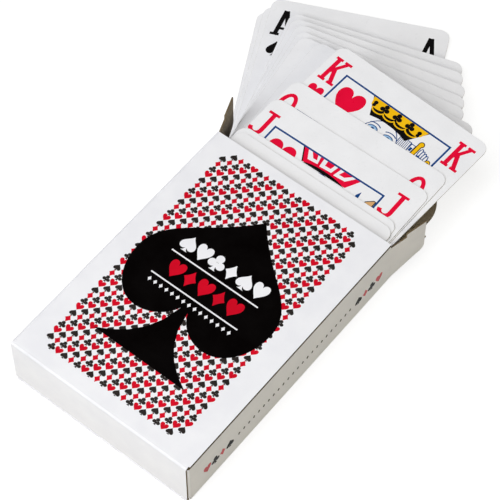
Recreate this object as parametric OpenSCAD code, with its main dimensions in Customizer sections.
// A deck of playing cards in its open tuck carton, with some cards drawn out of the mouth and fanned.
// The carton lies on its back: +Y points out of the mouth, +X to the right, +Z up to the printed front.
// The origin is the middle of the carton's back, on its outer face.

/* [Cards] */
// Width of a card
card_width = 57; // [54:0.5:64]
// Length of a card
card_length = 88; // [84:0.5:92]
// Thickness of a card
card_thickness = 0.3; // [0.26:0.01:0.34]
// Radius of a card's corners
card_radius = 3.2; // [2:0.1:4]
// Air between one card and the next
card_gap = 0.02; // [0.01:0.01:0.04]
// Air between a fanned card's corner and the carton's right wall
swivel_clearance = 0.2; // [0.1:0.05:0.4]

/* [Carton] */
// Thickness of the folded board
board = 0.45; // [0.35:0.05:0.5]
// Outer radius of the creases
crease_radius = 0.9; // [0.7:0.1:1.2]
// Room for the cards across the carton
side_play = 5.8; // [5.4:0.1:8]
// Room for the cards along the carton
end_play = 2.8; // [1.5:0.1:4]
// Room over the cards, under the glue flap
top_play = 0.74; // [0.3:0.02:2]
// Room under the lowest card
base_play = 0.25; // [0.2:0.05:0.5]
// Width of the glue flap under the front panel
glue_flap_width = 12; // [8:1:16]
// How far the glue flap stops short of either end
glue_flap_setback = 3; // [1:0.5:6]

/* [Lid] */
// Length of the tongue at the end of the lid
tongue_length = 16.5; // [14:0.5:20]
// How far the tongue is narrower than the lid, on each side
tongue_inset = 2.4; // [1:0.1:4]
// Radius of the tongue's far corners
tongue_radius = 11.5; // [6:0.5:13]
// How far the lid is narrower than the carton, on each side
lid_inset = 0.3; // [0.2:0.1:1]
// Width of the bare crease between two hinged panels
crease_gap = 0.15; // [0.1:0.05:0.3]

/* [Mouth flaps] */
// Length of the two dust flaps at the mouth
flap_length = 13.2; // [9:0.1:15]
// How far the left flap is splayed outwards
left_flap_splay = 20.3; // [19:0.1:40]
// How far the right flap is splayed outwards
right_flap_splay = 13.4; // [12:0.1:40]
// Air between the lowest card and a flap's lower edge at the crease
flap_clearance = 0.2; // [0.15:0.05:0.6]
// How much a flap's lower edge rises towards its free end
flap_taper = 3.7; // [2.5:0.1:6]
// How far a flap's upper edge is cut back at the crease
flap_top_relief = 1.6; // [0.4:0.1:2.5]
// How far along the flap the upper relief runs
flap_relief_length = 6; // [3:0.5:7]
// Radius of a flap's free lower corner
flap_radius = 2.5; // [1:0.1:4]

/* [Closed end] */
// Length of the tongue tucked in at the closed end
closure_tongue_length = 14; // [10:0.5:18]
// Radius of that tongue's far corners
closure_tongue_radius = 6; // [3:0.5:9]
// Air between that tongue and the creases beside it
closure_tongue_clearance = 0.3; // [0.2:0.1:1]
// How far the closing panel is narrower than the carton, on each side
closure_inset = 0.4; // [0.2:0.1:1]
// Length of the dust flaps folded in at the closed end
end_flap_length = 20; // [12:1:26]
// Air round the folded end flaps
end_flap_clearance = 0.15; // [0.1:0.05:0.4]
// Air between the squared cards and the end flaps
end_seat = 0.4; // [0.2:0.1:1]

/* [Hidden] */
// Smoothness of every round form
$fn = 64;
// Cuts run past the faces they cut by this much
overrun = 1;

// The cards from the lowest to the highest, as runs of falling ranks
ranks = ["king", "queen", "jack", "ten", "nine", "eight", "seven", "six", "five", "four", "three", "two", "ace"];
function run(suit, first, last) = [for (rank = [first:last]) str(ranks[rank], "_of_", suit)];
deck = concat(
    run("spades", 10, 12),
    run("diamonds", 0, 12),
    run("clubs", 0, 12),
    ["jokers", "jokers"],
    run("hearts", 5, 12),
    run("spades", 0, 9),
    run("hearts", 0, 4)
);

// The fanned cards: each one's level in the deck, its turn to the left in degrees, how deep it still reaches
// into the carton against the deepest that lets it swivel, and how much of the side play lies on its left
fanned_levels = [0, 1, 2, 8, 14, 19, 23, 27, 31];
fanned_turns = [27.5, 26.3, 24.9, 17.5, 15.7, 13, 10.9, 8.7, 3.6];
fanned_depth_shares = [0.99, 0.936, 0.838, 0.929, 0.985, 0.986, 0.98, 0.903, 0.577];
fanned_side_shares = [0.04, 0.11, 0.19, 0.055, 0.04, 0.04, 0.05, 0.055, 0.307];
// The cards pulled nearly straight out: level, turn, how much of the card is out, and the play on its left
pulled_levels = [49, 50, 51, 52, 53];
pulled_turns = [-2.8, -0.4, 0.4, 0.3, -0.2];
pulled_out_shares = [0.566, 0.349, 0.248, 0.086, 0.062];
pulled_side_shares = [0.944, 0.81, 0.77, 0.568, 0.645];
// The squared cards lie in the middle of the side play
squared_side_share = 0.5;

// Heights of the cards
card_pitch = card_thickness + card_gap;
stack_height = len(deck) * card_pitch - card_gap;
function card_level_z(level) = board + base_play + level * card_pitch;

// Outer sizes of the carton, from the deck that it holds
inner_width = card_width + side_play;
carton_width = inner_width + 2 * board;
carton_length = card_length + end_play + 2 * board;
carton_depth = stack_height + base_play + top_play + 3 * board;
half_width = carton_width / 2;
inner_half_width = inner_width / 2;
mouth_y = carton_length / 2;
closed_y = -carton_length / 2;
// The side walls stop where they bend into the end flaps
wall_end_y = closed_y + board + crease_radius;
wall_length = mouth_y - wall_end_y;

// How deep a fanned card may reach in from the mouth, so that its lower right corner clears the right
// wall at its own turn and at every smaller one; left is the play on the card's left
round_width = card_width - card_radius;
function swing_room(left) = inner_width - swivel_clearance - left - card_radius;
function free_depth(left) = card_radius + sqrt(pow(swing_room(left), 2) - pow(round_width, 2));
function free_turn(left) = acos(round_width / swing_room(left));
function deepest(turn, left) = turn >= free_turn(left) ? free_depth(left)
    : card_radius + (swing_room(left) - round_width * cos(turn)) / sin(turn);

// The lid covers the mouth from the back to the front panel
lid_width = carton_width - 2 * lid_inset;
lid_length = carton_depth - board;
tongue_width = lid_width - 2 * tongue_inset;
closure_width = carton_width - 2 * closure_inset;
// The tucked tongue fits between the creases along the back panel
closure_tongue_width = inner_width - 2 * (crease_radius - board + closure_tongue_clearance);

// Heights of the flaps at the mouth and at the closed end
flap_top_z = carton_depth - board;
flap_low_z = card_level_z(0) + card_thickness + flap_clearance;
end_flap_low_z = board + crease_radius + end_flap_clearance;
end_flap_top_z = carton_depth - crease_radius - end_flap_clearance;

// Nodes: the carton's pieces, then every card by name
card_nodes = [for (level = [0:len(deck) - 1]) if (level == 0 || deck[level] != deck[level - 1]) deck[level]];

// Colours of the printed front, the bare board and the card faces
carton_colour = "whitesmoke";
board_colour = "darkgray";
card_colour = "white";

// A rectangle with round corners, its lower left corner at the origin
module rounded_rectangle(width, length, radius) {
    translate([radius, 0]) square([width - 2 * radius, length]);
    translate([0, radius]) square([width, length - 2 * radius]);
    for (x = [radius, width - radius], y = [radius, length - radius])
        translate([x, y]) circle(radius);
}

// A quarter of a bent strip of board, from the +X side to the +Y side round the origin
module bent_crease() {
    intersection() {
        difference() {
            circle(crease_radius);
            circle(crease_radius - board);
        }
        square(crease_radius);
    }
}

// A tongue with round far corners, its root edge along X from the origin
module tongue_outline(width, length, radius) {
    difference() {
        translate([0, -radius]) rounded_rectangle(width, length + radius, radius);
        translate([-overrun, -radius - overrun]) square([width + 2 * overrun, radius + overrun]);
    }
}

// One card lying flat, its lower left corner at the origin
module card() {
    linear_extrude(card_thickness) rounded_rectangle(card_width, card_length, card_radius);
}

// One card turned about the mouth's edge, with the given length out of the mouth and play on its left
module drawn_card(turn, out, left) {
    translate([left - inner_half_width, mouth_y, 0])
        rotate(turn)
            translate([0, out - card_length, 0]) card();
}

// The card at one level of the deck: fanned, pulled out or squared up in the carton
module placed_card(level) {
    fanned = search(level, fanned_levels);
    pulled = search(level, pulled_levels);
    color(card_colour)
        translate([0, 0, card_level_z(level)])
            if (len(fanned) > 0) {
                turn = fanned_turns[fanned[0]];
                left = fanned_side_shares[fanned[0]] * side_play;
                depth = fanned_depth_shares[fanned[0]] * deepest(turn, left);
                drawn_card(turn, card_length - depth, left);
            } else if (len(pulled) > 0) {
                out = pulled_out_shares[pulled[0]] * card_length;
                drawn_card(pulled_turns[pulled[0]], out, pulled_side_shares[pulled[0]] * side_play);
            } else {
                drawn_card(0, end_seat - end_play, squared_side_share * side_play);
            }
}

// Cross-section of the glued sleeve: the front panel lies over the glue flap on the right
module sleeve_section() {
    difference() {
        translate([-half_width, 0]) rounded_rectangle(carton_width, carton_depth, crease_radius);
        translate([-inner_half_width, board])
            rounded_rectangle(carton_width - 2 * board, carton_depth - 2 * board, crease_radius - board);
    }
    translate([half_width - crease_radius, carton_depth - board]) square([crease_radius, board]);
}

// Front, left, back and right panels with the glue flap, one folded and glued strip of board
module carton_sleeve() {
    color(carton_colour) {
        translate([0, mouth_y, 0]) rotate([90, 0, 0]) linear_extrude(wall_length) sleeve_section();
        translate([crease_radius - half_width, closed_y, 0])
            cube([carton_width - 2 * crease_radius, wall_end_y - closed_y, board]);
        translate([inner_half_width - glue_flap_width, wall_end_y + glue_flap_setback, carton_depth - 2 * board])
            cube([glue_flap_width, wall_length - 2 * glue_flap_setback, board]);
    }
}

// The panel that shuts the lower end, folded down from the front panel, with its tongue tucked in
module closed_end_panel() {
    color(carton_colour)
        translate([-closure_width / 2, 0, 0])
            rotate([90, 0, 90])
                linear_extrude(closure_width) {
                    translate([closed_y + crease_radius, carton_depth - board])
                        square([wall_end_y - closed_y - crease_radius, board]);
                    translate([closed_y + crease_radius, carton_depth - crease_radius])
                        mirror([1, 0]) bent_crease();
                    translate([closed_y, board + crease_radius])
                        square([board, carton_depth - board - 2 * crease_radius]);
                    translate([closed_y + crease_radius, board + crease_radius])
                        mirror([1, 0]) mirror([0, 1]) bent_crease();
                }
    color(carton_colour)
        translate([-closure_tongue_width / 2, closed_y + crease_radius, board])
            linear_extrude(board)
                tongue_outline(closure_tongue_width, closure_tongue_length - crease_radius, closure_tongue_radius);
}

// The two flaps bent in from the side panels behind the closed end
module closed_end_dust_flaps() {
    color(board_colour)
        for (side = [0, 1])
            mirror([side, 0, 0])
                translate([0, 0, end_flap_low_z])
                    linear_extrude(end_flap_top_z - end_flap_low_z) {
                        translate([half_width - crease_radius, wall_end_y])
                            mirror([0, 1]) bent_crease();
                        translate([half_width - end_flap_length, closed_y + board])
                            square([end_flap_length - crease_radius, board]);
                    }
}

// The lid, hinged on the back panel's mouth edge and lying open
module lid_panel() {
    color(board_colour)
        translate([-lid_width / 2, mouth_y + crease_gap, 0])
            cube([lid_width, lid_length - crease_gap, board]);
}

// The tongue at the lid's end, with its round corners
module lid_tongue() {
    color(board_colour)
        translate([-tongue_width / 2, mouth_y + lid_length + crease_gap, 0])
            linear_extrude(board) tongue_outline(tongue_width, tongue_length - crease_gap, tongue_radius);
}

// Outline of a mouth flap: along the flap in X, height above the carton's back in Y
module flap_outline() {
    free_low_z = flap_low_z + flap_taper;
    difference() {
        polygon([
            [crease_gap, flap_low_z],
            [flap_length - flap_radius, free_low_z],
            [flap_length, free_low_z],
            [flap_length, flap_top_z],
            [flap_relief_length, flap_top_z],
            [flap_relief_length, flap_top_z - flap_top_relief],
            [crease_gap, flap_top_z - flap_top_relief]
        ]);
        translate([flap_length - flap_radius, free_low_z])
            difference() {
                square(flap_radius + overrun);
                translate([0, flap_radius]) circle(flap_radius);
                translate([-overrun, flap_radius]) square(flap_radius + 3 * overrun);
            }
    }
}

// A mouth flap for the right side, hinged on the side panel's outer face and splayed outwards
module mouth_flap(splay) {
    color(board_colour)
        translate([half_width, mouth_y, 0])
            rotate(90 - splay)
                rotate([90, 0, 0])
                    translate([0, 0, -board])
                        linear_extrude(board) flap_outline();
}

module right_dust_flap() {
    mouth_flap(right_flap_splay);
}

module left_dust_flap() {
    mirror([1, 0, 0]) mouth_flap(left_flap_splay);
}

carton_sleeve();
closed_end_panel();
closed_end_dust_flaps();
lid_panel();
lid_tongue();
left_dust_flap();
right_dust_flap();
for (level = [0:len(deck) - 1])
    placed_card(level);
